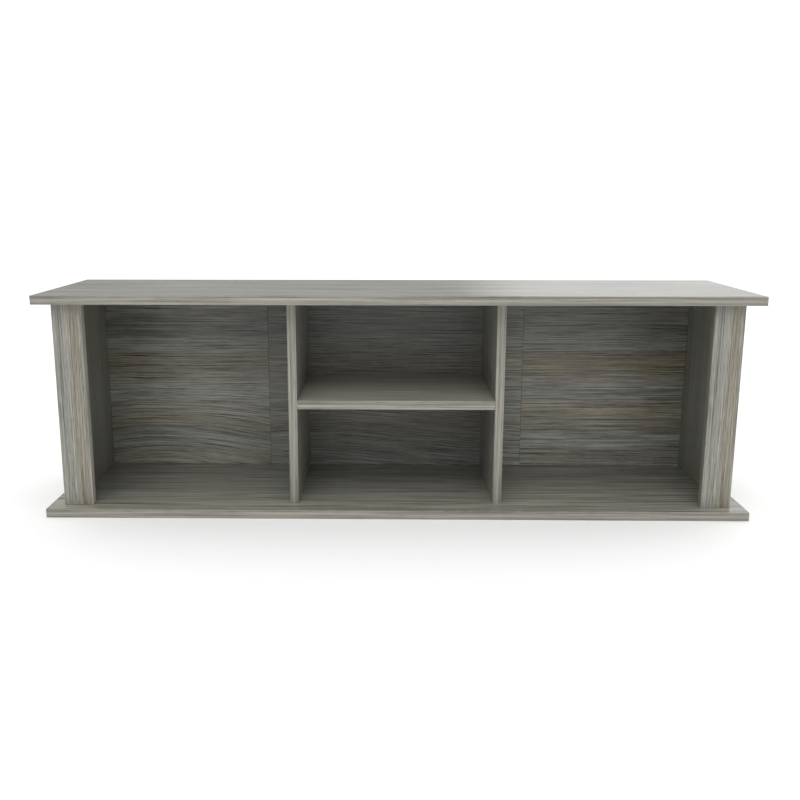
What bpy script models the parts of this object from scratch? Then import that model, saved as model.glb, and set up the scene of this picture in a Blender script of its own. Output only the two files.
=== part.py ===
"""A desk hutch: open bays between a wide top panel and a wide bottom panel, with a shelf in the middle bay.

Metres, with +Z up, +X to the right and +Y to the rear, seen from the front.
The origin is the middle of the underside.
"""

from math import pi

import bmesh
import bpy
from mathutils import Vector

# Overall size
WIDTH = 1.200
DEPTH = 0.300
HEIGHT = 0.381

# Stock
BOARD = 0.015  # panels, stiles, dividers, shelf and back
SIDE_BOARD = 0.012
BAND = 0.001  # edge band
GAP = 0.0003  # glue line or joint line between two touching pieces
EASED_EDGE = 0.0002
EASED_BAND = 0.0003

# Layout, with distances from the middle plane or from the front edge of the two wide panels
UPRIGHT_OUTSIDE = 0.575  # outer face of side panels and stiles
STILE_WIDTH = 0.050
STILE_SETBACK = 0.025
BAY_SETBACK = 0.040  # front of side panels, dividers and shelf
DIVIDER_OUTSIDE = 0.184  # outer face of each divider
SHELF_UNDERSIDE = 0.183
BACK_INSET = 0.003  # rear face of the back boards, from the rear edge
BACK_SEAM = 0.2475  # joint between the middle back board and an outer one

# Fasteners
CAM_RADIUS = 0.0075
CAM_DEPTH = 0.0095
CAM_DROP = 0.024  # centre of a cam below the top panel
CAM_AXIS_DEPTH = 0.006  # bolt line below the face that the cam sits in
BOLT_RADIUS = 0.0025
BOLT_THREAD_RADIUS = 0.003
BOLT_THREAD = 0.010
BOLT_NECK_RADIUS = 0.0016
BOLT_HEAD_RADIUS = 0.0026
SCREW_RADIUS = 0.003
SCREW_LENGTH = 0.045
SCREW_TIP = 0.003
SCREW_HEAD_RADIUS = 0.0048
SCREW_HEAD = 0.0035
SCREW_RIM = 0.001
SCREW_RECESS = 0.0005  # head below the face that it is driven through
SOCKET_RADIUS = 0.0023
SOCKET_DEPTH = 0.0026
DOWEL_RADIUS = 0.003
DOWEL_LENGTH = 0.030
DOWEL_IN_PANEL = 0.010

# Places of the fasteners along the depth
FRONT_FASTENER = -0.070
SIDE_REAR_FASTENER = 0.100
DIVIDER_REAR_FASTENER = 0.090
SHELF_FASTENERS = {"front": -0.050, "rear": 0.080}
STILE_DOWEL_X = 0.545
BACK_DOWEL_X = 0.405

# Levels and planes worked out from the sizes above
FRONT = -DEPTH / 2
REAR = DEPTH / 2
BAY_FRONT = FRONT + BAY_SETBACK
BACK_FACE = REAR - BACK_INSET - BOARD
UNDER_TOP = HEIGHT - BOARD
UPRIGHT_LOW = BOARD + GAP
UPRIGHT_HIGH = UNDER_TOP - GAP
SIDE_INSIDE = UPRIGHT_OUTSIDE - SIDE_BOARD
DIVIDER_INSIDE = DIVIDER_OUTSIDE - BOARD

OVERCUT = 0.001  # how far a hole's shape runs past the face that it opens in
ROUND = 12  # sides of a small round piece
CAM_ROUND = 24

LEFT_RIGHT = {"left": -1, "right": 1}


def clear_scene():
    for obj in list(bpy.data.objects):
        bpy.data.objects.remove(obj)


def new_collection(name, parent):
    made = bpy.data.collections.new(name)
    parent.children.link(made)
    return made


def new_material(name, colour, roughness, metallic=0.0):
    made = bpy.data.materials.new(name)
    made.use_nodes = True
    shader = made.node_tree.nodes["Principled BSDF"]
    shader.inputs["Base Color"].default_value = (*colour, 1.0)
    shader.inputs["Roughness"].default_value = roughness
    shader.inputs["Metallic"].default_value = metallic
    return made


def place(name, mesh, location, rotation, collection):
    made = bpy.data.objects.new(name, mesh)
    made.location = location
    made.rotation_euler = rotation
    collection.objects.link(made)
    return made


def box_mesh(name, size):
    mesh = bpy.data.meshes.new(name)
    shape = bmesh.new()
    bmesh.ops.create_cube(shape, size=1.0)
    bmesh.ops.scale(shape, vec=size, verts=shape.verts)
    shape.to_mesh(mesh)
    shape.free()
    return mesh


def ease(obj, width):
    bevel = obj.modifiers.new("Eased edges", "BEVEL")
    bevel.width = width
    bevel.segments = 1


def slab(name, low, high, finish, edge=EASED_EDGE):
    """A rectangular board between two opposite corners."""
    low = Vector(low)
    high = Vector(high)
    mesh = box_mesh(name, high - low)
    mesh.materials.append(finish)
    made = place(name, mesh, (low + high) / 2, (0, 0, 0), hutch)
    ease(made, edge)
    return made


def cylinder_mesh(name, radius, bottom, top, sides=ROUND):
    mesh = bpy.data.meshes.new(name)
    shape = bmesh.new()
    bmesh.ops.create_cone(
        shape, cap_ends=True, segments=sides, radius1=radius, radius2=radius, depth=top - bottom
    )
    bmesh.ops.translate(shape, vec=(0, 0, (top + bottom) / 2), verts=shape.verts)
    shape.to_mesh(mesh)
    shape.free()
    return mesh


def turned(name, profile):
    """An object that turns a profile of (radius, height) points, listed from its top down, about Z."""
    mesh = bpy.data.meshes.new(name)
    points = [(radius, 0, height) for radius, height in profile]
    links = [(i, i + 1) for i in range(len(points) - 1)]
    mesh.from_pydata(points, links, [])
    made = place(name, mesh, (0, 0, 0), (0, 0, 0), cutters)
    screw = made.modifiers.new("Turn", "SCREW")
    screw.steps = ROUND
    screw.render_steps = ROUND
    screw.use_merge_vertices = True
    screw.merge_threshold = 0.00001
    return made


def cut(obj, tools):
    """Cuts every object of a collection out of obj."""
    boolean = obj.modifiers.new("Holes", "BOOLEAN")
    boolean.operation = "DIFFERENCE"
    boolean.operand_type = "COLLECTION"
    boolean.collection = tools
    boolean.solver = "EXACT"


def finished_mesh(obj, finish=None):
    """The mesh of obj with its modifiers applied, for copies to share. obj itself is removed."""
    graph = bpy.context.evaluated_depsgraph_get()
    mesh = bpy.data.meshes.new_from_object(obj.evaluated_get(graph))
    mesh.name = obj.name
    bpy.data.objects.remove(obj)
    mesh.shade_smooth()
    mesh.set_sharp_from_angle(angle=pi / 6)
    if finish:
        mesh.materials.clear()
        mesh.materials.append(finish)
    return mesh


def discard(tools):
    """Removes a collection of cutters that is no longer needed, with what it holds."""
    for tool in list(tools.objects):
        bpy.data.objects.remove(tool)
    bpy.data.collections.remove(tools)


def drilled(board):
    """Gives a board its own collection of hole shapes, and cuts them out of it."""
    tools = new_collection("holes_" + board.name, cutters)
    holes[board.name] = tools
    cut(board, tools)


def hole(mesh, location, rotation, boards):
    """One hole shape, cut out of each named board that it passes through."""
    made = bpy.data.objects.new("hole_" + mesh.name, mesh)
    made.location = location
    made.rotation_euler = rotation
    made.hide_render = True
    made.display_type = "WIRE"
    for board in boards:
        holes[board].objects.link(made)


# Fastener shapes, each made once about its own Z axis


def cam_mesh():
    """A zinc cam housing: face at Z 0, body below it, and a mouth for the bolt's head towards +Y."""
    mouth_radius = BOLT_HEAD_RADIUS + 0.0004
    mouth_end = 0.0035
    slot_size = (0.0085, 0.0014, 0.0030)
    tools = new_collection("cam_cuts", cutters)
    mouth = cylinder_mesh("cam_mouth", mouth_radius, -mouth_end, CAM_RADIUS + OVERCUT)
    place("cam_mouth", mouth, (0, 0, -CAM_AXIS_DEPTH), (-pi / 2, 0, 0), tools)
    for turn in (0, pi / 2):
        place("cam_slot", box_mesh("cam_slot", slot_size), (0, 0, 0), (0, 0, turn + pi / 4), tools)
    housing = cylinder_mesh("cam_lock", CAM_RADIUS, -CAM_DEPTH, 0, CAM_ROUND)
    body = place("cam_lock", housing, (0, 0, 0), (0, 0, 0), cutters)
    ease(body, EASED_BAND)
    cut(body, tools)
    mesh = finished_mesh(body, zinc)
    discard(tools)
    return mesh


def bolt_mesh():
    """A cam bolt: its head's middle is the origin, and its thread ends up inside the top panel."""
    top = CAM_DROP + BOLT_THREAD
    head = BOLT_HEAD_RADIUS
    chamfer = 0.0006
    profile = [
        (0, top),
        (BOLT_THREAD_RADIUS - chamfer, top),
        (BOLT_THREAD_RADIUS, top - chamfer),
        (BOLT_THREAD_RADIUS, CAM_DROP),
        (BOLT_RADIUS, CAM_DROP - chamfer),
        (BOLT_RADIUS, CAM_RADIUS),
        (BOLT_NECK_RADIUS, CAM_RADIUS - chamfer),
        (BOLT_NECK_RADIUS, head * 0.8),
        (head, head * 0.4),
        (head, head * -0.4),
        (head / 2, -head),
        (0, -head),
    ]
    return finished_mesh(turned("cam_bolt", profile), steel)


def screw_profile(spare=0, mouth=0):
    """A countersunk one-piece connecting screw, with its head's face at Z 0 and its tip above.

    A hole for it is larger all round by spare, and runs on past the head's face by mouth.
    """
    return [
        (0, SCREW_LENGTH + spare),
        (SCREW_RADIUS / 2 + spare, SCREW_LENGTH + spare),
        (SCREW_RADIUS + spare, SCREW_LENGTH - SCREW_TIP),
        (SCREW_RADIUS + spare, SCREW_HEAD),
        (SCREW_HEAD_RADIUS + spare, SCREW_RIM),
        (SCREW_HEAD_RADIUS + spare, -mouth),
        (0, -mouth),
    ]


def screw_mesh():
    """The connecting screw with a hexagon socket in its head."""
    tools = new_collection("screw_cuts", cutters)
    socket = cylinder_mesh("screw_socket", SOCKET_RADIUS, -OVERCUT, SOCKET_DEPTH, 6)
    place("screw_socket", socket, (0, 0, 0), (0, 0, 0), tools)
    body = turned("connecting_screw", screw_profile())
    cut(body, tools)
    mesh = finished_mesh(body, steel)
    discard(tools)
    return mesh


def dowel_mesh():
    """A wooden dowel with chamfered ends, its middle at the origin."""
    chamfer = 0.0008
    half = DOWEL_LENGTH / 2
    body = place(
        "dowel", cylinder_mesh("dowel", DOWEL_RADIUS, -half, half), (0, 0, 0), (0, 0, 0), cutters
    )
    ease(body, chamfer)
    return finished_mesh(body, beech)


# Boards


def make_wide_panel(name, low_z, laminate, banding):
    """A top or bottom panel, with bands on its front and its two ends. Its rear edge is bare."""
    high_z = low_z + BOARD
    half = WIDTH / 2
    core = BAND + GAP
    panel = slab(name, (core - half, FRONT + core, low_z), (half - core, REAR, high_z), laminate)
    drilled(panel)
    slab(name + "_front_band", (-half, FRONT, low_z), (half, FRONT + BAND, high_z), banding, EASED_BAND)
    for end, side in LEFT_RIGHT.items():
        near, far = sorted((side * (half - BAND), side * half))
        slab(
            f"{name}_{end}_band", (near, FRONT + core, low_z), (far, REAR, high_z), banding, EASED_BAND
        )


def make_side(end, side, laminate):
    near, far = sorted((side * SIDE_INSIDE, side * UPRIGHT_OUTSIDE))
    low = (near, BAY_FRONT, UPRIGHT_LOW)
    drilled(slab("side_panel_" + end, low, (far, REAR, UPRIGHT_HIGH), laminate))


def make_stile(end, side, laminate):
    near, far = sorted((side * (UPRIGHT_OUTSIDE - STILE_WIDTH), side * UPRIGHT_OUTSIDE))
    low = (near, FRONT + STILE_SETBACK, UPRIGHT_LOW)
    high = (far, BAY_FRONT - GAP, UPRIGHT_HIGH)
    drilled(slab("front_stile_" + end, low, high, laminate))


def make_divider(end, side, laminate, banding):
    near, far = sorted((side * DIVIDER_INSIDE, side * DIVIDER_OUTSIDE))
    core_front = BAY_FRONT + BAND + GAP
    low = (near, core_front, UPRIGHT_LOW)
    drilled(slab("divider_" + end, low, (far, BACK_FACE - GAP, UPRIGHT_HIGH), laminate))
    high = (far, BAY_FRONT + BAND, UPRIGHT_HIGH)
    slab(f"divider_{end}_band", (near, BAY_FRONT, UPRIGHT_LOW), high, banding, EASED_BAND)


def make_shelf(laminate, banding):
    half = DIVIDER_INSIDE - GAP
    top = SHELF_UNDERSIDE + BOARD
    core_front = BAY_FRONT + BAND + GAP
    low = (-half, core_front, SHELF_UNDERSIDE)
    drilled(slab("centre_shelf", low, (half, BACK_FACE - GAP, top), laminate))
    low = (-half, BAY_FRONT, SHELF_UNDERSIDE)
    slab("centre_shelf_band", low, (half, BAY_FRONT + BAND, top), banding, EASED_BAND)


def make_back(laminate):
    outside = SIDE_INSIDE - GAP
    outer_inside = BACK_SEAM + GAP / 2
    middle = BACK_SEAM - GAP / 2
    spans = {
        "left": (-outside, -outer_inside),
        "centre": (-middle, middle),
        "right": (outer_inside, outside),
    }
    for part, (near, far) in spans.items():
        low = (near, BACK_FACE, UPRIGHT_LOW)
        drilled(slab("back_board_" + part, low, (far, BACK_FACE + BOARD, UPRIGHT_HIGH), laminate))


# Fasteners, each placed with the hole that it needs in every board it enters


def fit_cam(name, board, face_x, facing, y, shapes):
    """A cam in the face of an upright at face_x, which looks along X by facing, and its bolt."""
    z = UNDER_TOP - CAM_DROP
    turn = (pi / 2, 0, facing * pi / 2)
    bolt_x = face_x - facing * CAM_AXIS_DEPTH
    place("cam_lock_" + name, shapes["cam"], (face_x, y, z), turn, hutch)
    hole(shapes["cam_hole"], (face_x, y, z), turn, [board])
    place("cam_bolt_" + name, shapes["bolt"], (bolt_x, y, z), (0, 0, 0), hutch)
    hole(shapes["bolt_hole"], (bolt_x, y, z), (0, 0, 0), [board, "top_panel"])


def fit_screw(name, location, turn, boards, shapes):
    place(name, shapes["screw"], location, turn, hutch)
    hole(shapes["screw_hole"], location, turn, boards)


def fit_dowel(name, x, y, z, boards, shapes):
    place(name, shapes["dowel"], (x, y, z), (0, 0, 0), hutch)
    hole(shapes["dowel_hole"], (x, y, z), (0, 0, 0), boards)


def fit_uprights(shapes):
    """Cams at the top and screws at the bottom of the side panels and the dividers."""
    for end, side in LEFT_RIGHT.items():
        side_rows = {"front": FRONT_FASTENER, "rear": SIDE_REAR_FASTENER}
        divider_rows = {"front": FRONT_FASTENER, "rear": DIVIDER_REAR_FASTENER}
        side_x = side * (SIDE_INSIDE + SIDE_BOARD / 2)
        divider_x = side * (DIVIDER_INSIDE + BOARD / 2)
        for row, y in side_rows.items():
            board = "side_panel_" + end
            fit_cam(f"side_{end}_{row}", board, side * SIDE_INSIDE, -side, y, shapes)
            boards = ["bottom_panel", board]
            location = (side_x, y, SCREW_RECESS)
            fit_screw(f"base_screw_side_{end}_{row}", location, (0, 0, 0), boards, shapes)
        for row, y in divider_rows.items():
            board = "divider_" + end
            fit_cam(f"divider_{end}_{row}", board, side * DIVIDER_OUTSIDE, side, y, shapes)
            boards = ["bottom_panel", board]
            location = (divider_x, y, SCREW_RECESS)
            fit_screw(f"base_screw_divider_{end}_{row}", location, (0, 0, 0), boards, shapes)


def fit_shelf(shapes):
    """Screws driven through each divider from its outer face into the shelf's end."""
    z = SHELF_UNDERSIDE + BOARD / 2
    for end, side in LEFT_RIGHT.items():
        head_x = side * (DIVIDER_OUTSIDE - SCREW_RECESS)
        for row, y in SHELF_FASTENERS.items():
            turn = (0, -side * pi / 2, 0)
            boards = ["divider_" + end, "centre_shelf"]
            fit_screw(f"shelf_screw_{end}_{row}", (head_x, y, z), turn, boards, shapes)


def fit_dowels(shapes):
    """Dowels that locate the stiles and the back boards between the two wide panels."""
    stile_y = (FRONT + STILE_SETBACK + BAY_FRONT - GAP) / 2
    back_y = BACK_FACE + BOARD / 2
    half = DOWEL_LENGTH / 2
    levels = {
        "bottom": (BOARD - DOWEL_IN_PANEL + half, "bottom_panel"),
        "top": (UNDER_TOP + DOWEL_IN_PANEL - half, "top_panel"),
    }
    for level, (z, panel) in levels.items():
        for end, side in LEFT_RIGHT.items():
            boards = [panel, "front_stile_" + end]
            fit_dowel(f"stile_dowel_{end}_{level}", side * STILE_DOWEL_X, stile_y, z, boards, shapes)
        for part, x in {"left": -BACK_DOWEL_X, "centre": 0, "right": BACK_DOWEL_X}.items():
            boards = [panel, "back_board_" + part]
            fit_dowel(f"back_dowel_{part}_{level}", x, back_y, z, boards, shapes)


def fastener_shapes():
    """The shared meshes of the fasteners, and of their holes, which are larger all round by the joint gap."""
    half = DOWEL_LENGTH / 2
    bolt_top = CAM_DROP + BOLT_THREAD + GAP
    return {
        "cam": cam_mesh(),
        "cam_hole": cylinder_mesh("cam", CAM_RADIUS + GAP, -CAM_DEPTH - GAP, OVERCUT, CAM_ROUND),
        "bolt": bolt_mesh(),
        "bolt_hole": cylinder_mesh("bolt", BOLT_THREAD_RADIUS + GAP, 0, bolt_top),
        "screw": screw_mesh(),
        "screw_hole": finished_mesh(turned("screw", screw_profile(GAP, OVERCUT))),
        "dowel": dowel_mesh(),
        "dowel_hole": cylinder_mesh("dowel", DOWEL_RADIUS + GAP, -half - GAP, half + GAP),
    }


clear_scene()
scene_root = bpy.context.scene.collection
hutch = new_collection("desk_hutch", scene_root)
cutters = new_collection("cutters", scene_root)
holes = {}

oak = new_material("grey_oak_laminate", (0.155, 0.150, 0.130), 0.38)
edging = new_material("grey_oak_edge_band", (0.250, 0.240, 0.205), 0.35)
zinc = new_material("cast_zinc", (0.55, 0.55, 0.56), 0.45, 1.0)
steel = new_material("plated_steel", (0.62, 0.60, 0.55), 0.30, 1.0)
beech = new_material("beech", (0.62, 0.43, 0.24), 0.65)

make_wide_panel("top_panel", UNDER_TOP, oak, edging)
make_wide_panel("bottom_panel", 0.0, oak, edging)
for end_name, end_side in LEFT_RIGHT.items():
    make_side(end_name, end_side, oak)
    make_stile(end_name, end_side, oak)
    make_divider(end_name, end_side, oak, edging)
make_shelf(oak, edging)
make_back(oak)

fasteners = fastener_shapes()
fit_uprights(fasteners)
fit_shelf(fasteners)
fit_dowels(fasteners)
cutters.hide_render = True
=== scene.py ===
"""The looks of a desk hutch: printed grey oak laminate on its boards, edge bands and fine fasteners.

Metres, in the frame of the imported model: +Z up, +X to the right and +Y to the rear, seen from the front.
"""

from math import cos, pi, radians, sin
from typing import NamedTuple

import bmesh
import bpy
from mathutils import Matrix, Vector


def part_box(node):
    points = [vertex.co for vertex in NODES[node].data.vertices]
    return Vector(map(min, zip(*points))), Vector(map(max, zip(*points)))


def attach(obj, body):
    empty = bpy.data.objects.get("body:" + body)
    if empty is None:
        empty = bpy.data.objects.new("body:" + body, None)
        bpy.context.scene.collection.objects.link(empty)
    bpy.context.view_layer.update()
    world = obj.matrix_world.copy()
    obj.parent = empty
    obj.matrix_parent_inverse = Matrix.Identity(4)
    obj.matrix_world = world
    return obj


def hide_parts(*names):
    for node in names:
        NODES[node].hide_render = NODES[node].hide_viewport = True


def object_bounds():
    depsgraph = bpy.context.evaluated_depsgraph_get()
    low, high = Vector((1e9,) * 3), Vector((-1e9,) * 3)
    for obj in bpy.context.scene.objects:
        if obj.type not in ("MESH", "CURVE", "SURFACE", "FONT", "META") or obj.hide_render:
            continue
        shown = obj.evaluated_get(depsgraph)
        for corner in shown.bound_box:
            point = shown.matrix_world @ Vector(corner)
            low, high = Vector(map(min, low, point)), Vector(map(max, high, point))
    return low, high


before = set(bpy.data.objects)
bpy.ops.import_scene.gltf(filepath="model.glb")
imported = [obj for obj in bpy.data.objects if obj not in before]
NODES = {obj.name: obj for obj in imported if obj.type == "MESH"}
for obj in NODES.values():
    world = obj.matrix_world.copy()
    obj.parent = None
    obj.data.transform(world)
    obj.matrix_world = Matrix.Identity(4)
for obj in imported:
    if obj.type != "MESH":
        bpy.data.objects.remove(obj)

CAD_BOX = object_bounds()

X, Y, Z = Vector((1, 0, 0)), Vector((0, 1, 0)), Vector((0, 0, 1))

# Camera
CAMERA_PLACE = (-0.0105, -1.672, 0.5413)
CAMERA_PITCH = radians(-12.41)
CAMERA_YAW = radians(0.95)
CAMERA_LENS = 42.2
CAMERA_SHIFT = (0.0317, 0.0017)

# Studio
HORIZON_LIGHT = 0.30
ZENITH_LIGHT = 1.27
WALL_LIGHT = 0.60
WALL_EDGE = (0.05, 0.16)  # a direction's X over its Y, between which the wall fades in to the right
WALL_TOP = (0.7, 0.3)  # a direction's Z, between which the wall fades in from the top down
BACKGROUND_WHITE = 1.05
SUN_AZIMUTH = radians(-6)  # 0 comes from the front
SUN_ELEVATION = radians(41)
SUN_SPREAD = radians(42)
SUN_STRENGTH = 1.0
FLOOR_RADIUS = 14.0
FLOOR_GAP = 0.0002
FLOOR_WHITE = 0.94
FLOOR_ROUGHNESS = 0.7

# Laminate, with linear colours
COOL = (0.238, 0.245, 0.227)
WARM = (0.236, 0.217, 0.170)
WORN = (0.38, 0.36, 0.32)
WARM_TINT = (1.02, 0.95, 0.84)
COOL_TINT = (0.96, 1.0, 1.04)
TINT_SHARE = 0.35
SHEEN = 0.455  # specular level
BOARD_ROUGHNESS = 0.32
PANEL_ROUGHNESS = 0.22
BAND_ROUGHNESS = 0.32
SMUDGE_GLOSS = 0.06  # how much the roughness varies
WORN_GLOSS = 0.3  # what full wear adds to the roughness
BARE_GLOSS = 0.6  # and what bare chipboard adds
END_REACH = 0.12  # how far the painted light and shade at a board's ends runs in
WORN_EDGE = (0.0010, 0.0002)  # distances from an edge between which the wear grows
EMBOSSING = 0.00004  # depth of the pores and lines
EMBOSSING_STRENGTH = 0.25
CHIPBOARD = (0.46, 0.36, 0.24)
CHIPBOARD_RED = (0.34, 0.20, 0.10)
CHIPBOARD_SHADE = 0.55
CHIPS_PER_METRE = 520.0

# Noise, as cycles in a metre along and across the grain
WANDER_PACE = (2.4, 5.0)
FLUTTER_PACE = (17.0, 26.0)
FLUTTER_SHARE = 0.14  # how strong the flutter of a line is beside its wander
SMUDGE_PACE = (9.0, 14.0)
RUB_PACE = (60.0, 60.0, 60.0)
SEED_ALONG = 3.7  # how far apart the noise of two sheets lies
SEED_ACROSS = 11.3

# Fastener finishes, as linear colours
ZINC = (0.55, 0.55, 0.56)
ZINC_STAIN = (0.30, 0.30, 0.31)
PLATING = (0.66, 0.62, 0.52)
PLATING_STAIN = (0.50, 0.43, 0.28)
BEECH = (0.62, 0.42, 0.25)
BEECH_FLECK = (0.40, 0.23, 0.12)

BAND_ROUND = 0.0007  # radius of an edge band's outer edges
BAND_STEPS = 4

SMOOTH_ANGLE = radians(32)  # a sharper edge than this stays sharp
WELD = 0.000005

# Fasteners, about their own Z axes
CAM_RADIUS = 0.0075
CAM_DEPTH = 0.0095
CAM_RIM = 0.0063  # radius of the recess in its face
CAM_RECESS = 0.0004
BOLT_LINE = 0.006  # from a cam's face to the middle of its bolt
BOLT_HEAD = 0.0026
SCREW_HEAD = 0.0048
SCREW_LENGTH = 0.045
THREAD_RADIUS = 0.003
THREAD_PITCH = 0.003
DOWEL_RADIUS = 0.003
DOWEL_LENGTH = 0.030

# Bands of tone across the grain, from a board's low edge: (place in metres, brightness, warmth).
# Brightness 1 is the palette's own, and warmth runs from 0, grey, to 1, brown. Some tables also carry
# painted light and shade, as noted at each.
PLAIN_TONES = [(0.00, 1.0, 0.35), (0.10, 0.95, 0.5), (0.20, 1.05, 0.3), (0.30, 1.0, 0.5)]
UPRIGHT_TONES = [
    (0.00, 1.05, 0.4),
    (0.03, 0.95, 0.5),
    (0.05, 1.10, 0.2),
    (0.09, 0.90, 0.5),
    (0.12, 1.10, 0.3),
    (0.15, 0.95, 0.6),
    (0.19, 1.12, 0.2),
    (0.24, 0.95, 0.5),
    (0.28, 1.05, 0.3),
]
STILE_PRINT_AND_LIGHT = [
    (0.000, 0.99, 0.4),
    (0.008, 1.02, 0.3),
    (0.014, 0.98, 0.2),
    (0.0210, 1.00, 0.3),
    (0.0228, 1.28, 0.3),
    (0.0248, 0.96, 0.7),
    (0.036, 0.94, 0.8),
    (0.046, 0.97, 0.7),
    (0.049, 1.06, 0.4),
    # From here on the stops lie on the left stile's inner side face, painted far paler: painted light.
    (0.052, 1.85, 0.3),
    (0.065, 1.85, 0.3),
]
BAND_TONES = [
    (0.0000, 0.96, 0.5),
    (0.0020, 0.94, 0.6),
    (0.0035, 0.93, 0.6),
    (0.0050, 1.01, 0.5),
    (0.0080, 1.09, 0.5),
    (0.0100, 1.08, 0.5),
    (0.0112, 1.00, 0.6),
    (0.0120, 0.87, 0.7),
    (0.0132, 0.85, 0.7),
    (0.0140, 0.91, 0.5),
    (0.0150, 0.93, 0.5),
]
SHELF_BAND_TONES = [
    (0.0000, 1.14, 0.3),
    (0.0015, 1.10, 0.3),
    (0.0025, 0.96, 0.6),
    (0.0045, 0.98, 0.6),
    (0.0055, 1.42, 0.1),
    (0.0070, 1.36, 0.2),
    (0.0080, 0.66, 0.9),
    (0.0090, 0.76, 0.8),
    (0.0105, 0.86, 0.4),
    (0.0150, 0.92, 0.4),
]
SHELF_TONES = [
    (0.00, 1.45, 0.4),
    (0.06, 1.32, 0.5),
    (0.10, 1.48, 0.3),
    (0.18, 1.30, 0.4),
    (0.26, 1.40, 0.5),
]
TOP_TONES = [
    (0.00, 1.02, 0.9),
    (0.02, 0.96, 0.7),
    (0.04, 1.06, 0.3),
    (0.07, 0.97, 0.5),
    (0.10, 1.04, 0.0),
    (0.14, 0.96, 0.4),
    (0.18, 1.06, 0.1),
    (0.21, 0.97, 0.5),
    (0.25, 1.03, 0.0),
    (0.29, 0.98, 0.3),
    (0.32, 1.00, 0.4),
]
# Darker towards the rear, deep in the bays: partly print, partly painted shade.
BOTTOM_PRINT_AND_SHADE = [
    (0.00, 1.01, 0.6),
    (0.02, 1.02, 0.8),
    (0.035, 0.99, 0.6),
    (0.05, 1.14, 0.3),
    (0.07, 1.00, 0.7),
    (0.10, 0.98, 0.2),
    (0.13, 0.84, 0.6),
    (0.17, 0.80, 0.2),
    (0.21, 0.70, 0.6),
    (0.26, 0.65, 0.3),
    (0.30, 0.80, 0.4),
]
# Darker towards the top edge: partly print, partly painted shade under the top panel.
BACK_LEFT_PRINT_AND_SHADE = [
    (0.000, 1.06, 0.5),
    (0.034, 1.02, 0.5),
    (0.040, 0.97, 0.9),
    (0.046, 1.05, 0.1),
    (0.070, 1.03, 0.1),
    (0.076, 0.80, 0.4),
    (0.082, 0.88, 0.8),
    (0.097, 0.93, 0.9),
    (0.102, 1.05, 0.6),
    (0.125, 1.08, 0.5),
    (0.128, 0.86, 0.3),
    (0.131, 1.26, 0.1),
    (0.140, 1.13, 0.2),
    (0.157, 1.18, 0.2),
    (0.174, 1.17, 0.7),
    (0.186, 1.13, 0.7),
    (0.190, 0.88, 0.7),
    (0.202, 1.06, 1.0),
    (0.221, 1.02, 0.9),
    (0.226, 1.08, 0.2),
    (0.252, 1.06, 0.1),
    (0.258, 0.72, 0.4),
    (0.266, 0.78, 0.5),
    (0.272, 0.82, 0.3),
    (0.295, 0.69, 0.2),
    (0.312, 0.85, 0.5),
    (0.350, 0.72, 0.4),
]
# Darker all over than the other back boards, and darkest at the top: partly print, partly painted shade.
BACK_CENTRE_PRINT_AND_SHADE = [
    (0.00, 0.87, 0.2),
    (0.05, 0.82, 0.1),
    (0.08, 0.73, 0.5),
    (0.10, 0.84, 0.7),
    (0.115, 0.69, 0.3),
    (0.13, 0.87, 0.2),
    (0.17, 0.80, 0.4),
    (0.20, 0.87, 0.7),
    (0.23, 0.74, 0.8),
    (0.25, 0.78, 0.2),
    (0.27, 0.56, 0.4),
    (0.31, 0.60, 0.3),
    (0.35, 0.52, 0.4),
]
# Darker towards the top edge: partly print, partly painted shade under the top panel.
BACK_RIGHT_PRINT_AND_SHADE = [
    (0.000, 0.85, 0.5),
    (0.035, 0.85, 0.4),
    (0.042, 1.05, 0.2),
    (0.061, 1.04, 0.2),
    (0.067, 0.82, 0.4),
    (0.077, 0.86, 0.5),
    (0.081, 1.00, 1.0),
    (0.089, 1.02, 1.0),
    (0.0915, 0.68, 0.5),
    (0.094, 1.02, 0.9),
    (0.110, 1.08, 1.0),
    (0.127, 1.06, 0.8),
    (0.130, 1.20, 0.2),
    (0.133, 0.80, 0.3),
    (0.138, 0.95, 0.2),
    (0.149, 0.96, 0.2),
    (0.152, 0.76, 0.3),
    (0.155, 1.22, 0.2),
    (0.160, 1.02, 0.5),
    (0.180, 1.08, 0.7),
    (0.185, 0.92, 1.0),
    (0.197, 0.98, 1.4),
    (0.221, 1.00, 1.3),
    (0.226, 0.78, 0.6),
    (0.230, 0.98, 0.4),
    (0.256, 0.98, 0.2),
    (0.262, 0.78, 0.4),
    (0.275, 0.73, 0.2),
    (0.292, 0.71, 0.3),
    (0.315, 0.66, 0.4),
    (0.350, 0.60, 0.4),
]


class Arch(NamedTuple):
    """Grain lines that fall away to both sides of a crown, as on a board from the middle of a log."""

    crown: float  # place along the grain
    curve: float
    spread: float  # distance from the crown where the lines begin to level out
    full: float  # place across the grain where the bend is full
    ends: float  # and where it has faded out


class Sheet(NamedTuple):
    """One printed sheet of laminate."""

    grain: Vector
    across: Vector
    seed: float
    tones: list = PLAIN_TONES
    wander: float = 0.007  # how far a line strays across the grain
    stretch: float = 1.0  # how long the streaks are
    arch: Arch = None
    roughness: float = BOARD_ROUGHNESS
    worn: float = 0.0  # how much its edges are rubbed
    dashes: float = 0.0  # how strong its short marks are
    boldness: float = 1.0  # how strong its fine lines are
    belting: float = 0.36  # how strong its broad belts are
    end_shades: tuple = (0.0, 0.0)  # painted light and shade: how much brighter it is at its low and high ends


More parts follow.
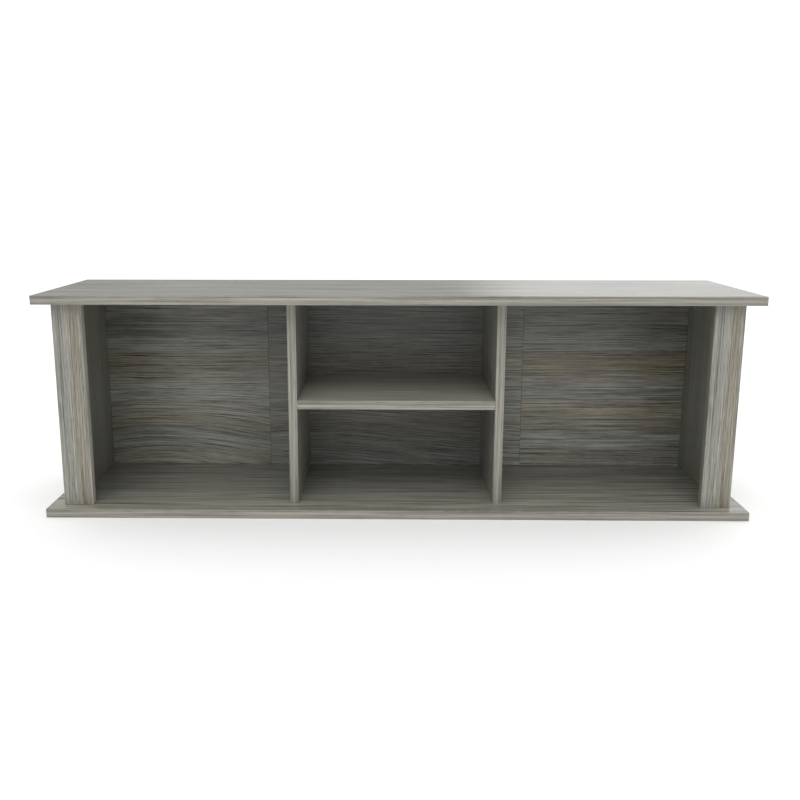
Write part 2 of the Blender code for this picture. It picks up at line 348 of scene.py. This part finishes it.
# The brightness near the back boards' ends is painted light and shade.
BACK_BOARDS = {
    "left": {
        "seed": 4.0,
        "tones": BACK_LEFT_PRINT_AND_SHADE,
        "arch": Arch(crown=0.10, curve=0.90, spread=0.30, full=0.02, ends=0.20),
        "end_shades": (0.0, -0.15),
    },
    "centre": {
        "seed": 5.0,
        "tones": BACK_CENTRE_PRINT_AND_SHADE,
        "arch": Arch(crown=0.10, curve=0.60, spread=0.25, full=0.02, ends=0.20),
        "end_shades": (-0.08, 0.36),
    },
    "right": {"seed": 6.0, "tones": BACK_RIGHT_PRINT_AND_SHADE, "end_shades": (0.15, 0.0)},
}


class Streaks(NamedTuple):
    """A kind of streak in the print, by the length and width of its features."""

    length: float
    width: float
    detail: float = 1.0


BELTS = Streaks(0.45, 0.010, 2.0)
LINES = Streaks(0.080, 0.0015)
FIBRES = Streaks(0.030, 0.0009)
DASHES = Streaks(0.016, 0.0014)
THREADS = Streaks(0.16, 0.0019, 0.0)
PORES = Streaks(0.012, 0.0006, 0.0)
DARK_LINES = Streaks(0.50, 0.0027)
LIGHT_LINES = Streaks(0.30, 0.0023)
WARM_STREAKS = Streaks(0.40, 0.005)
COOL_STREAKS = Streaks(0.60, 0.006)

# What each kind does to the brightness
LINE_SHADE = 0.42
FIBRE_SHADE = 0.45
THREAD_SHADE = -0.11
THREAD_SPREAD = 0.15  # share of the surface that threads cover, so that they don't darken it as a whole
DARK_LINE_SHADE = -0.26
LIGHT_LINE_SHADE = 0.20
PORE_SHADE = -0.25


# Materials


class Nodes:
    """Builds the node tree of a material or a world. A method adds one node and gives its output."""

    def __init__(self, owner):
        self.owner = owner
        self.tree = owner.node_tree
        self.shader = self.tree.nodes.get("Principled BSDF")

    def feed(self, socket, value):
        """Links an output to a socket, or sets a constant on the socket itself."""
        if isinstance(value, bpy.types.NodeSocket):
            self.tree.links.new(value, socket)
        else:
            socket.default_value = value

    def add(self, kind, inputs=(), output=0, **settings):
        node = self.tree.nodes.new("ShaderNode" + kind)
        for name, value in settings.items():
            setattr(node, name, value)
        for key, value in dict(inputs).items():
            self.feed(node.inputs[key], value)
        return node.outputs[output]

    def math(self, operation, *values):
        return self.add("Math", dict(enumerate(values)), operation=operation)

    def plus(self, first, *others):
        for other in others:
            first = self.math("ADD", first, other)
        return first

    def times(self, first, *others):
        for other in others:
            first = self.math("MULTIPLY", first, other)
        return first

    def vector(self, operation, *values):
        return self.add("VectorMath", dict(enumerate(values)), operation=operation)

    def dot(self, value, direction):
        return self.add("VectorMath", {0: value, 1: direction}, "Value", operation="DOT_PRODUCT")

    def flat(self, u, v):
        return self.add("CombineXYZ", {"X": u, "Y": v})

    def noise(self, place, detail=2.0, roughness=0.5, dimensions="2D"):
        values = {"Vector": place, "Scale": 1.0, "Detail": detail, "Roughness": roughness}
        return self.add("TexNoise", values, noise_dimensions=dimensions)

    def paced(self, u, v, pace, detail, roughness=0.5):
        """Flat noise with that many cycles in a metre of u and of v."""
        return self.noise(self.flat(self.times(u, pace[0]), self.times(v, pace[1])), detail, roughness)

    def solid(self, point, pace, detail, roughness=0.6):
        """Noise in space with that many cycles in a metre along each axis."""
        return self.noise(self.vector("MULTIPLY", point, pace), detail, roughness, "3D")

    def about(self, value, middle, strength):
        """A value's distance from its middle, times a strength."""
        return self.times(self.plus(value, -middle), strength)

    def fade(self, value, start, end, low=0.0, high=1.0):
        """Turns smoothly from low to high as value goes from start to end."""
        values = {"Value": value, "From Min": start, "From Max": end, "To Min": low, "To Max": high}
        return self.add("MapRange", values, interpolation_type="SMOOTHSTEP")

    def ramp(self, place, stops):
        """A colour that follows (place, colour) stops."""
        low, high = stops[0][0], stops[-1][0]
        share = self.add("MapRange", {"Value": place, "From Min": low, "From Max": high})
        ramp = self.add("ValToRGB", {"Fac": share})
        elements = ramp.node.color_ramp.elements
        for stop in stops[2:]:
            elements.new(0.5)
        for element, (at, colour) in zip(elements, stops):
            element.position = (at - low) / (high - low)
            element.color = (*colour, 1.0)
        return ramp

    def blend(self, share, first, second, how="MIX"):
        """Two colours mixed. A Mix node takes them at inputs 6 and 7, and gives the result at output 2."""
        values = {"Factor": share, 6: first, 7: second}
        return self.add("Mix", values, 2, data_type="RGBA", blend_type=how)

    def bump(self, height, distance, strength=1.0):
        normal = self.add("Bump", {"Height": height, "Distance": distance, "Strength": strength})
        self.feed(self.shader.inputs["Normal"], normal)


def new_material(name):
    """The nodes of a new material, whose shader waits for its colour and roughness."""
    made = bpy.data.materials.new(name)
    made.use_nodes = True
    return Nodes(made)


def opaque(colour):
    """A colour with full alpha, as a colour socket takes it."""
    return (*colour, 1.0)


def mixed(tone):
    """The palette's colour at a tone's brightness and warmth."""
    brightness, warmth = tone
    return tuple(brightness * (cool + warmth * (warm - cool)) for cool, warm in zip(COOL, WARM))


def distance_to_edge(g, place, size):
    """How far a point on a box's surface is from the nearest edge, from its place above the low corner."""
    far = g.vector("SUBTRACT", size, place)
    near = g.vector("MINIMUM", place, far)
    split = g.add("SeparateXYZ", {0: near}).node
    x, y, z = split.outputs
    low, high = g.math("MINIMUM", x, y), g.math("MAXIMUM", x, y)
    return g.math("MAXIMUM", low, g.math("MINIMUM", high, z))


def grain_level(g, along, across, sheet):
    """The place across the grain of the line that runs through a point, as lines wander and arch."""
    wander = g.paced(along, across, WANDER_PACE, 2.0)
    flutter = g.paced(along, across, FLUTTER_PACE, 1.0)
    level = g.plus(
        across,
        g.about(wander, 0.5, sheet.wander),
        g.about(flutter, 0.5, sheet.wander * FLUTTER_SHARE),
    )
    if sheet.arch:
        arch = sheet.arch
        away = g.plus(along, -arch.crown - sheet.seed * SEED_ALONG)
        square = g.times(away, away)
        fall = g.math("DIVIDE", square, g.plus(1.0, g.times(square, 1 / arch.spread ** 2)))
        level = g.plus(level, g.times(fall, g.fade(across, arch.ends, arch.full, 0.0, arch.curve)))
    return level


def tinted(g, colour, streaks):
    """A colour with warmer and cooler streaks."""
    warmer = g.fade(streaks(WARM_STREAKS), 0.45, 0.65)
    colour = g.blend(g.times(warmer, TINT_SHARE), colour, opaque(WARM_TINT), "MULTIPLY")
    cooler = g.fade(streaks(COOL_STREAKS), 0.52, 0.68)
    return g.blend(g.times(cooler, TINT_SHARE), colour, opaque(COOL_TINT), "MULTIPLY")


def shaded(g, colour, shade):
    """A colour times a brightness."""
    return g.blend(1.0, colour, g.add("CombineXYZ", {"X": shade, "Y": shade, "Z": shade}), "MULTIPLY")


def end_shade(g, along, length, sheet):
    """Painted light and shade: a brightness that is higher or lower near a board's ends."""
    start = g.fade(along, END_REACH, 0.0, 0.0, sheet.end_shades[0])
    end = g.fade(along, length - END_REACH, length, 0.0, sheet.end_shades[1])
    return g.plus(1.0, start, end)


def wood_print(g, along, across, sheet):
    """The printed oak: its colour, and a height that is low in its pores and dark lines."""
    along = g.plus(along, sheet.seed * SEED_ALONG)
    level = grain_level(g, along, across, sheet)

    def streaks(kind):
        u = g.times(along, 1 / (kind.length * sheet.stretch))
        v = g.plus(g.times(level, 1 / kind.width), sheet.seed * SEED_ACROSS)
        return g.noise(g.flat(u, v), kind.detail, 0.55)

    belts = streaks(BELTS)
    fibres = streaks(FIBRES)
    lines = g.fade(streaks(LINES), 0.34, 0.66)
    threads = g.fade(streaks(THREADS), 0.60, 0.70)
    dark_lines = g.fade(streaks(DARK_LINES), 0.60, 0.67)
    light_lines = g.fade(streaks(LIGHT_LINES), 0.62, 0.70)
    pore_marks = g.times(g.fade(streaks(PORES), 0.66, 0.74), g.fade(belts, 0.35, 0.55))
    fine = g.plus(
        g.about(lines, 0.5, LINE_SHADE),
        g.about(fibres, 0.5, FIBRE_SHADE),
        g.about(streaks(DASHES), 0.5, sheet.dashes),
        g.about(threads, THREAD_SPREAD, THREAD_SHADE),
    )
    shade = g.plus(
        1.0,
        g.times(fine, sheet.boldness),
        g.about(belts, 0.5, sheet.belting),
        g.times(dark_lines, DARK_LINE_SHADE),
        g.times(light_lines, LIGHT_LINE_SHADE),
        g.times(pore_marks, PORE_SHADE),
    )
    colour = g.ramp(level, [(at, mixed(tone)) for at, *tone in sheet.tones])
    colour = shaded(g, colour, shade)
    height = g.plus(g.times(fibres, 0.5), g.times(lines, 0.15), g.times(pore_marks, -1.0))
    return tinted(g, colour, streaks), height


def chipboard(g, place):
    """Pressed wood flakes of several tones, for a bare board edge."""
    values = {"Vector": place, "Scale": CHIPS_PER_METRE}
    flakes = g.add("TexVoronoi", values, "Color", voronoi_dimensions="3D", feature="F1")
    tone = g.add("SeparateColor", {0: flakes}).node.outputs
    dark = [c * CHIPBOARD_SHADE for c in CHIPBOARD]
    colour = g.blend(g.fade(tone[0], 0.3, 0.9), opaque(CHIPBOARD), opaque(dark))
    return g.blend(g.fade(tone[1], 0.75, 0.9), colour, opaque(CHIPBOARD_RED))


def laminate(name, node, sheet, bare=None):
    """Printed laminate on one board. bare is the way that a face without laminate looks, or None."""
    g = new_material(name)
    low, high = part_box(node)
    point = g.add("TexCoord", output="Object")
    place = g.vector("SUBTRACT", point, low)
    u, v = g.dot(place, sheet.grain), g.dot(place, sheet.across)
    colour, height = wood_print(g, u, v, sheet)
    # Painted light and shade near the board's ends.
    if any(sheet.end_shades):
        colour = shaded(g, colour, end_shade(g, u, sheet.grain.dot(high - low), sheet))
    gloss = g.plus(sheet.roughness, g.about(g.paced(u, v, SMUDGE_PACE, 3.0, 0.6), 0.5, SMUDGE_GLOSS))
    if sheet.worn:
        edge = g.fade(distance_to_edge(g, place, high - low), *WORN_EDGE)
        rub = g.fade(g.solid(point, RUB_PACE, 2.0, 0.5), 0.40, 0.65)
        worn = g.times(edge, rub, sheet.worn)
        colour = g.blend(worn, colour, opaque(WORN))
        gloss = g.plus(gloss, g.times(worn, WORN_GLOSS))
    if bare:
        facing = g.dot(g.add("NewGeometry", output="True Normal"), bare)
        raw = g.fade(facing, 0.85, 0.95)
        colour = g.blend(raw, colour, chipboard(g, place))
        gloss = g.plus(gloss, g.times(raw, BARE_GLOSS))
    g.feed(g.shader.inputs["Base Color"], colour)
    g.feed(g.shader.inputs["Roughness"], gloss)
    g.feed(g.shader.inputs["Specular IOR Level"], SHEEN)
    g.bump(height, EMBOSSING, EMBOSSING_STRENGTH)
    return g.owner


def give(obj, material):
    """Puts one material on a CAD node or a new piece."""
    obj.data.materials.clear()
    obj.data.materials.append(material)


def cast_zinc():
    """Bright die-cast zinc: a fine grainy skin, with duller patches."""
    g = new_material("cast_zinc")
    point = g.add("TexCoord", output="Object")
    patches = g.solid(point, (350.0, 350.0, 350.0), 3.0)
    skin = g.solid(point, (4000.0, 4000.0, 4000.0), 2.0)
    stain = g.fade(patches, 0.40, 0.72)
    g.feed(g.shader.inputs["Base Color"], g.blend(stain, opaque(ZINC), opaque(ZINC_STAIN)))
    g.feed(g.shader.inputs["Metallic"], 1.0)
    g.feed(g.shader.inputs["Roughness"], g.plus(0.32, g.times(stain, 0.18), g.times(skin, 0.10)))
    g.bump(skin, 0.00004, 0.5)
    return g.owner


def plated_steel():
    """Turned steel under a thin yellowish plating, with fine rings left by the tool."""
    g = new_material("plated_steel")
    point = g.add("TexCoord", output="Object")
    patches = g.solid(point, (260.0, 260.0, 180.0), 3.0)
    rings = g.solid(point, (300.0, 300.0, 9000.0), 2.0)
    stain = g.fade(patches, 0.35, 0.75)
    g.feed(g.shader.inputs["Base Color"], g.blend(stain, opaque(PLATING), opaque(PLATING_STAIN)))
    g.feed(g.shader.inputs["Metallic"], 1.0)
    g.feed(g.shader.inputs["Roughness"], g.plus(0.20, g.times(stain, 0.16), g.times(rings, 0.08)))
    g.bump(rings, 0.00002, 0.5)
    return g.owner


def beech_wood():
    """Beech with its grain along Z, and short darker flecks."""
    g = new_material("beech_wood")
    point = g.add("TexCoord", output="Object")
    grain = g.solid(point, (1500.0, 1500.0, 90.0), 3.0)
    flecks = g.solid(point, (2600.0, 2600.0, 420.0), 1.0, 0.5)
    share = g.plus(g.times(grain, 0.6), g.fade(flecks, 0.58, 0.70, 0.0, 0.5))
    g.feed(g.shader.inputs["Base Color"], g.blend(share, opaque(BEECH), opaque(BEECH_FLECK)))
    g.feed(g.shader.inputs["Roughness"], g.plus(0.55, g.times(grain, 0.2)))
    g.bump(grain, 0.00008, 0.6)
    return g.owner


def level_sheet(seed, **details):
    """A sheet whose grain runs along X, on top of a board and down its front."""
    return Sheet(X, Y + Z, seed, **details)


def upright_sheet(seed, **details):
    """A sheet whose grain runs up, and wraps round a board's front corners."""
    return Sheet(Z, X + Y, seed, **details)


def board_sheets():
    """The sheet of every board, and the way its bare face looks where it has one."""
    panel = {"wander": 0.003, "stretch": 3.0, "roughness": PANEL_ROUGHNESS, "worn": 0.3, "boldness": 2.3}
    shelf = {"wander": 0.003, "stretch": 3.0, "boldness": 1.7}
    back = {"wander": 0.006, "stretch": 1.7, "dashes": 0.45, "boldness": 1.7}
    upright = {"wander": 0.002, "stretch": 3.0}
    stile = {"wander": 0.002, "stretch": 1.6, "worn": 0.3, "dashes": 0.5, "boldness": 1.2, "belting": 0.14}
    sheets = {
        "top_panel": (level_sheet(1.0, tones=TOP_TONES, **panel), Y),
        # The bottom panel is painted paler towards its ends: painted light.
        "bottom_panel": (level_sheet(2.0, tones=BOTTOM_PRINT_AND_SHADE, end_shades=(0.18, 0.08), **panel), Y),
        "centre_shelf": (level_sheet(7.0, tones=SHELF_TONES, **shelf), None),
    }
    for place, details in BACK_BOARDS.items():
        sheets["back_board_" + place] = (level_sheet(**details, **back), None)
    for end in ("left", "right"):
        sheets["front_stile_" + end] = (upright_sheet(8.0, tones=STILE_PRINT_AND_LIGHT, **stile), None)
        sheets["side_panel_" + end] = (upright_sheet(9.0, tones=UPRIGHT_TONES, **upright), Y)
        sheets["divider_" + end] = (upright_sheet(10.0, tones=UPRIGHT_TONES, **upright), None)
    return sheets


def finish_boards():
    for name, (sheet, bare) in board_sheets().items():
        give(NODES[name], laminate(name + "_laminate", name, sheet, bare))


# Pieces


def new_piece(name, mesh, slot, *nodes):
    """A piece that stands for CAD nodes, which it hides. Its slot is not used."""
    made = bpy.data.objects.new(name, mesh)
    bpy.context.scene.collection.objects.link(made)
    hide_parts(*nodes)
    return made


def finished(shape, name):
    """A mesh from a bmesh, with outward faces, shaded smooth up to its sharp edges."""
    bmesh.ops.remove_doubles(shape, verts=shape.verts, dist=WELD)
    bmesh.ops.recalc_face_normals(shape, faces=shape.faces)
    mesh = bpy.data.meshes.new(name)
    shape.to_mesh(mesh)
    shape.free()
    mesh.shade_smooth()
    mesh.set_sharp_from_angle(angle=SMOOTH_ANGLE)
    return mesh


def band_mesh(name, low, high, outward, all_round):
    """A thin band whose outer edges are rounded: all four, or only the two long ones."""
    size = high - low
    long_edge = 0.9 * max(size)
    shape = bmesh.new()
    bmesh.ops.create_cube(shape, size=1.0)
    bmesh.ops.scale(shape, vec=size, verts=shape.verts)
    bmesh.ops.translate(shape, vec=(low + high) / 2, verts=shape.verts)
    face = max(outward.dot(v.co) for v in shape.verts) - WELD
    outer = [e for e in shape.edges if all(outward.dot(v.co) > face for v in e.verts)]
    rounded = [e for e in outer if all_round or e.calc_length() > long_edge]
    bmesh.ops.bevel(
        shape, geom=rounded, offset=BAND_ROUND, segments=BAND_STEPS, profile=0.5, affect="EDGES"
    )
    return finished(shape, name)


def make_band(node, outward):
    """A printed edge band, with its grain along its length."""
    low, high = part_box(node)
    size = high - low
    grain = (X, Y, Z)[max(range(3), key=lambda i: size[i])]
    sheet = Sheet(
        grain,
        X + Y + Z - grain,
        seed=11.0,
        tones=SHELF_BAND_TONES if "shelf" in node else BAND_TONES,
        wander=0.001,
        stretch=3.0,
        roughness=BAND_ROUGHNESS,
        worn=0.5,
    )
    wide = node.startswith(("top", "bottom"))
    band = new_piece(node + "_rounded", band_mesh(node, low, high, outward, wide), "edge_band", node)
    give(band, laminate(node + "_print", node, sheet))
    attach(band, "root")


def make_bands():
    for panel in ("top_panel", "bottom_panel"):
        for end, outward in (("front", -Y), ("left", -X), ("right", X)):
            make_band(f"{panel}_{end}_band", outward)
    for board in ("divider_left", "divider_right", "centre_shelf"):
        make_band(board + "_band", -Y)


def turn(shape, rows, sides):
    """Faces round Z through rows of (radius, height). A radius may be a function of the angle.

    The first and last rows have no radius, and close the shape.
    """
    rings = []
    for radius, height in rows:
        if radius == 0:
            rings.append([shape.verts.new((0, 0, height))] * sides)
            continue
        ring = []
        for step in range(sides):
            angle = 2 * pi * step / sides
            reach = radius(angle) if callable(radius) else radius
            ring.append(shape.verts.new((reach * cos(angle), reach * sin(angle), height)))
        rings.append(ring)
    for near, far in zip(rings, rings[1:]):
        for step in range(sides):
            after = (step + 1) % sides
            corners = [near[step], near[after], far[after], far[step]]
            shape.faces.new(list(dict.fromkeys(corners)))


def thread_rows(start, end, core, crest, pitch):
    """Rows of a thread from start to end, which grows out of its core at both ends."""
    rows_per_turn = 10
    half_ridge = 0.28  # as a share of the pitch
    count = round((end - start) / pitch * rows_per_turn)

    def reach(height):
        grown = min(1.0, (height - start) / pitch, (end - height) / pitch)

        def radius(angle):
            phase = (height / pitch - angle / (2 * pi)) % 1.0
            ridge = max(0.0, 1.0 - abs(phase - 0.5) / half_ridge)
            return core + (crest - core) * grown * ridge

        return radius

    heights = [start + (end - start) * i / count for i in range(count + 1)]
    return [(reach(height), height) for height in heights]


def hexagon(radius):
    """The outline of a hexagon with corners at that radius."""

    def reach(angle):
        return radius * cos(pi / 6) / cos((angle % (pi / 3)) - pi / 6)

    return reach


def screw_mesh():
    """A countersunk connecting screw with a hexagon socket: its head's face is at Z 0 and its tip above."""
    socket = 0.0023
    core = 0.0021
    shape = bmesh.new()
    rows = [
        (0, 0.0026),
        (hexagon(socket), 0.0024),
        (hexagon(socket), 0.0003),
        (socket + 0.0004, 0),
        (SCREW_HEAD - 0.0003, 0),
        (SCREW_HEAD, 0.0003),
        (SCREW_HEAD, 0.0009),
        (THREAD_RADIUS, 0.0034),
        (THREAD_RADIUS, 0.0080),
        (core, 0.0088),
        *thread_rows(0.0090, SCREW_LENGTH - 0.0025, core, THREAD_RADIUS, THREAD_PITCH),
        (core * 0.45, SCREW_LENGTH - 0.0004),
        (0, SCREW_LENGTH - 0.0001),
    ]
    turn(shape, rows, 24)
    return finished(shape, "connecting_screw")


def bolt_mesh():
    """A cam bolt: its round head's middle is the origin, and its thread ends in the top panel."""
    flange, top = 0.024, 0.034
    neck, shank, core = 0.0016, 0.0025, 0.0021
    arc = [radians(a) for a in (-60, -30, 0, 25, 45)]
    head = [(BOLT_HEAD * cos(a), BOLT_HEAD * sin(a)) for a in arc]
    shape = bmesh.new()
    rows = [
        (0, -BOLT_HEAD),
        *head,
        (neck, 0.0023),
        (neck, 0.0068),
        (shank, 0.0076),
        (shank, flange - 0.0016),
        (THREAD_RADIUS, flange - 0.0012),
        (THREAD_RADIUS, flange),
        (core, flange + 0.0002),
        *thread_rows(flange + 0.0003, top - 0.0012, core, THREAD_RADIUS, 0.0025),
        (core * 0.5, top - 0.0002),
        (0, top - 0.0001),
    ]
    turn(shape, rows, 20)
    return finished(shape, "cam_bolt")


def dowel_mesh():
    """A fluted dowel with chamfered ends, its middle at the origin."""
    half, chamfer, flutes = DOWEL_LENGTH / 2, 0.0009, 14

    def fluted(angle):
        return DOWEL_RADIUS - 0.00028 * abs(cos(flutes * angle / 2)) ** 3

    shape = bmesh.new()
    end = DOWEL_RADIUS - chamfer
    rows = [
        (0, -half),
        (end, -half),
        (fluted, chamfer - half),
        (fluted, half - chamfer),
        (end, half),
        (0, half),
    ]
    turn(shape, rows, flutes * 6)
    return finished(shape, "dowel")


def cutter(shape_maker, matrix):
    """An object that a Boolean cuts with, made by a bmesh operator and placed by a matrix."""
    shape = bmesh.new()
    shape_maker(shape)
    bmesh.ops.transform(shape, matrix=matrix, verts=shape.verts)
    mesh = bpy.data.meshes.new("cutter")
    shape.to_mesh(mesh)
    shape.free()
    made = bpy.data.objects.new("cutter", mesh)
    bpy.context.scene.collection.objects.link(made)
    return made


def block(size, place, spin=0.0, taper=1.0):
    """A cutter: a box whose low face is smaller than its high face by taper, turned about Z."""

    def build(shape):
        bmesh.ops.create_cube(shape, size=1.0)
        low = [v for v in shape.verts if v.co.z < 0]
        bmesh.ops.scale(shape, vec=(taper, taper, 1), verts=low)
        bmesh.ops.scale(shape, vec=size, verts=shape.verts)

    return cutter(build, Matrix.Translation(place) @ Matrix.Rotation(spin, 4, "Z"))


def rod(radius, length, place, towards):
    """A cutter: a cylinder that starts at a place and runs along a direction."""

    def build(shape):
        bmesh.ops.create_cone(
            shape, cap_ends=True, segments=32, radius1=radius, radius2=radius, depth=length
        )
        bmesh.ops.translate(shape, vec=(0, 0, length / 2), verts=shape.verts)

    aim = towards.to_track_quat("Z", "Y").to_matrix().to_4x4()
    return cutter(build, Matrix.Translation(place) @ aim)


def cam_body():
    """A cast cam before it is cut: a recessed face at Z 0, a groove round its side and its body below."""
    shape = bmesh.new()
    rows = [
        (0, -CAM_DEPTH),
        (CAM_RADIUS - 0.0005, -CAM_DEPTH),
        (CAM_RADIUS, -CAM_DEPTH + 0.0005),
        (CAM_RADIUS, -0.0022),
        (CAM_RADIUS - 0.0003, -0.0019),
        (CAM_RADIUS - 0.0003, -0.0014),
        (CAM_RADIUS, -0.0011),
        (CAM_RADIUS, -0.0003),
        (CAM_RADIUS - 0.0003, 0),
        (CAM_RIM, 0),
        (CAM_RIM - 0.0003, -CAM_RECESS),
        (0, -CAM_RECESS),
    ]
    turn(shape, rows, 48)
    made = bpy.data.objects.new("cam_lock", finished(shape, "cam_lock"))
    bpy.context.scene.collection.objects.link(made)
    return made


def cam_cutters():
    """A cross slot and a pointer in the cam's face, and a mouth along +Y with room for the bolt's head."""
    slot = (0.0086, 0.0016, 0.0032)
    return [
        block(slot, (0, 0, -CAM_RECESS), pi / 4, 0.7),
        block(slot, (0, 0, -CAM_RECESS), -pi / 4, 0.7),
        block((0.0012, 0.0014, 0.0006), (0, 0.0048, -CAM_RECESS)),
        rod(BOLT_HEAD + 0.0004, CAM_RADIUS + 0.001, Vector((0, 0, -BOLT_LINE)), Y),
        block((CAM_RADIUS, 0.0046, 0.0036), (CAM_RADIUS * 0.75, 0.0005, -BOLT_LINE)),
    ]


def cam_mesh():
    """A cam lock: its face is at Z 0, and the bolt comes in along +Y, BOLT_LINE below the face."""
    body, cutters = cam_body(), cam_cutters()
    for tool in cutters:
        cut = body.modifiers.new("cut", "BOOLEAN")
        cut.operation = "DIFFERENCE"
        cut.solver = "EXACT"
        cut.object = tool
    graph = bpy.context.evaluated_depsgraph_get()
    made = bpy.data.meshes.new_from_object(body.evaluated_get(graph))
    for obj in (body, *cutters):
        bpy.data.objects.remove(obj)
    shape = bmesh.new()
    shape.from_mesh(made)
    bmesh.ops.dissolve_limit(
        shape, angle_limit=radians(0.5), verts=shape.verts, edges=shape.edges, use_dissolve_boundaries=False
    )
    bmesh.ops.dissolve_degenerate(shape, dist=0.00002, edges=shape.edges)
    bmesh.ops.triangulate(shape, faces=shape.faces)
    return finished(shape, "cam_lock")


def fit(node, mesh, material, slot, place, turned=(0, 0, 0)):
    """One fastener in its CAD node's place. Fasteners of a kind share a mesh."""
    made = new_piece(node + "_fine", mesh, slot, node)
    if not mesh.materials:
        mesh.materials.append(material)
    made.location = place
    made.rotation_euler = turned
    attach(made, "root")


def make_fasteners():
    """Finer cams, bolts, screws and dowels, each placed by its node's box and turned by its node's name."""
    cam, bolt, screw, dowel = cam_mesh(), bolt_mesh(), screw_mesh(), dowel_mesh()
    zinc, steel, beech = cast_zinc(), plated_steel(), beech_wood()
    for node in NODES:
        low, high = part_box(node)
        middle = (low + high) / 2
        side = -1 if middle.x < 0 else 1
        if node.startswith("cam_lock"):
            facing = side if "divider" in node else -side
            face = Vector((high.x if facing > 0 else low.x, middle.y, middle.z))
            fit(node, cam, zinc, "cam_zinc", face, (pi / 2, 0, facing * pi / 2))
        elif node.startswith("cam_bolt"):
            fit(node, bolt, steel, "plated_steel", (middle.x, middle.y, low.z + BOLT_HEAD))
        elif node.startswith("base_screw"):
            fit(node, screw, steel, "plated_steel", (middle.x, middle.y, low.z))
        elif node.startswith("shelf_screw"):
            head = Vector((high.x if side > 0 else low.x, middle.y, middle.z))
            fit(node, screw, steel, "plated_steel", head, (0, -side * pi / 2, 0))
        elif "dowel" in node:
            fit(node, dowel, beech, "beech_dowel", middle)


# Studio


def make_camera():
    camera = bpy.data.cameras.new("camera")
    camera.lens = CAMERA_LENS
    camera.shift_x, camera.shift_y = CAMERA_SHIFT
    made = bpy.data.objects.new("camera", camera)
    made.location = CAMERA_PLACE
    made.rotation_euler = (pi / 2 + CAMERA_PITCH, 0, CAMERA_YAW)
    bpy.context.scene.collection.objects.link(made)
    bpy.context.scene.camera = made


def make_sun():
    """Light from far off, as even over the floor as over the hutch."""
    lamp = bpy.data.lights.new("front_light", "SUN")
    lamp.angle = SUN_SPREAD
    lamp.energy = SUN_STRENGTH
    made = bpy.data.objects.new("front_light", lamp)
    made.rotation_euler = (pi / 2 - SUN_ELEVATION, 0, SUN_AZIMUTH)
    bpy.context.scene.collection.objects.link(made)


def make_world():
    """Soft light from all round: dim at the horizon, bright overhead, and with a bright wall behind and to
    the right. The camera itself sees plain white behind the floor.
    """
    world = bpy.data.worlds.new("studio")
    world.use_nodes = True
    g = Nodes(world)
    way = g.add("SeparateXYZ", {0: g.add("TexCoord", output="Generated")}).node.outputs
    overhead = g.fade(way["Z"], 0.0, 0.9, HORIZON_LIGHT, ZENITH_LIGHT)
    slant = g.math("DIVIDE", way["X"], g.math("MAXIMUM", way["Y"], 0.05))
    wall = g.fade(slant, *WALL_EDGE, 0.0, WALL_LIGHT)
    low = g.fade(way["Z"], *WALL_TOP)
    light = g.plus(overhead, g.times(wall, low, g.fade(way["Y"], 0.0, 0.1)))
    lit = g.add("Background", {"Color": opaque((1, 1, 1)), "Strength": light})
    seen = g.add("Background", {"Color": opaque((1, 1, 1)), "Strength": BACKGROUND_WHITE})
    camera_ray = g.add("LightPath", output="Is Camera Ray")
    shown = g.add("MixShader", {0: camera_ray, 1: lit, 2: seen})
    g.feed(g.tree.nodes["World Output"].inputs["Surface"], shown)
    bpy.context.scene.world = world


def make_floor():
    mesh = bpy.data.meshes.new("floor")
    shape = bmesh.new()
    bmesh.ops.create_circle(shape, cap_ends=True, segments=96, radius=FLOOR_RADIUS)
    shape.to_mesh(mesh)
    shape.free()
    made = bpy.data.objects.new("floor", mesh)
    made.location = (0, 0, CAD_BOX[0].z - FLOOR_GAP)
    bpy.context.scene.collection.objects.link(made)
    g = new_material("floor_paint")
    g.feed(g.shader.inputs["Base Color"], opaque([FLOOR_WHITE] * 3))
    g.feed(g.shader.inputs["Roughness"], FLOOR_ROUGHNESS)
    give(made, g.owner)


bpy.context.scene.view_settings.view_transform = "Standard"
make_camera()
make_world()
make_floor()
make_sun()
finish_boards()
make_bands()
make_fasteners()
